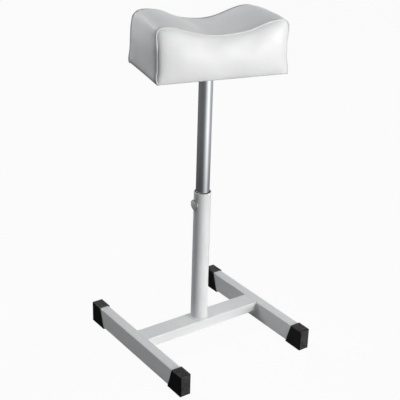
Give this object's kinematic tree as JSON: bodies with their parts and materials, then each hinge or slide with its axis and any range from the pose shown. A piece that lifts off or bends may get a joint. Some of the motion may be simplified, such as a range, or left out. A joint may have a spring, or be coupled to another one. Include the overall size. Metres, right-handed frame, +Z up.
{
  "type": "pedicure footrest",
  "caption": "Free-standing leg rest: saddle cushion on a telescopic swivel post, locked by a side knob, on an H-shaped tube base with rubber end caps.",
  "frame": {"origin": "on the floor under the post's axis, which is the bottom centre of the base", "axes": "+X along the cross bar towards the right rail, +Y along the foot rails towards the rear, +Z up the post; the clamp knob stands out towards -X"},
  "size_m": [0.313, 0.33, 0.669],
  "materials": {
    "frame_paint": "satin",
    "chrome": "polished",
    "cap_rubber": "matte",
    "black_plastic": "satin",
    "nylon": "satin",
    "brass": "satin",
    "zinc_steel": "satin",
    "knob_plastic": "satin",
    "plate_paint": "satin",
    "plywood": "matte",
    "foam": "matte",
    "leatherette": "satin",
    "under_cloth": "matte"
  },
  "bodies": {
    "base": {"left_rail": "frame_paint", "right_rail": "frame_paint", "cross_bar": "frame_paint", "bar_welds": "frame_paint", "foot_cap_front_left": "cap_rubber", "foot_cap_rear_left": "cap_rubber", "foot_cap_front_right": "cap_rubber", "foot_cap_rear_right": "cap_rubber", "outer_post": "frame_paint", "post_weld": "frame_paint", "post_bush": "black_plastic", "clamp_boss": "frame_paint"},
    "guide": {"guide_ring": "nylon"},
    "rest_post": {"inner_post": "chrome", "post_plug": "black_plastic", "mounting_plate": "plate_paint", "plate_weld": "plate_paint", "plate_screws": "zinc_steel", "base_board": "plywood", "foam_core": "foam", "cover_strip": "leatherette", "cover_front": "leatherette", "cover_rear": "leatherette", "piping_front": "leatherette", "piping_rear": "leatherette", "bottom_cloth": "under_cloth", "staples": "zinc_steel"},
    "pad": {"clamp_pad": "brass"},
    "clamp_screw": {"clamp_stud": "zinc_steel", "clamp_knob": "knob_plastic"}
  },
  "joints": [
    {"name": "height", "type": "slide", "parent": "base", "child": "guide", "axis": [0, 0, 1], "range_m": [-0.21, 0.01]},
    {"name": "swivel", "type": "hinge", "parent": "guide", "child": "rest_post", "pos_m": [0, 0, 0.27], "axis": [0, 0, 1], "continuous": true},
    {"name": "pad_travel", "type": "slide", "parent": "base", "child": "pad", "axis": [-1, 0, 0], "range_m": [0, 0.0025]},
    {"name": "clamp_turn", "type": "hinge", "parent": "pad", "child": "clamp_screw", "pos_m": [-0.02, 0, 0.296], "axis": [-1, 0, 0], "range_deg": [0, 720]}
  ],
  "couplings": [
    {"joint": "pad_travel", "follows": "clamp_turn", "m_per_rad": 0.00019894}
  ]
}
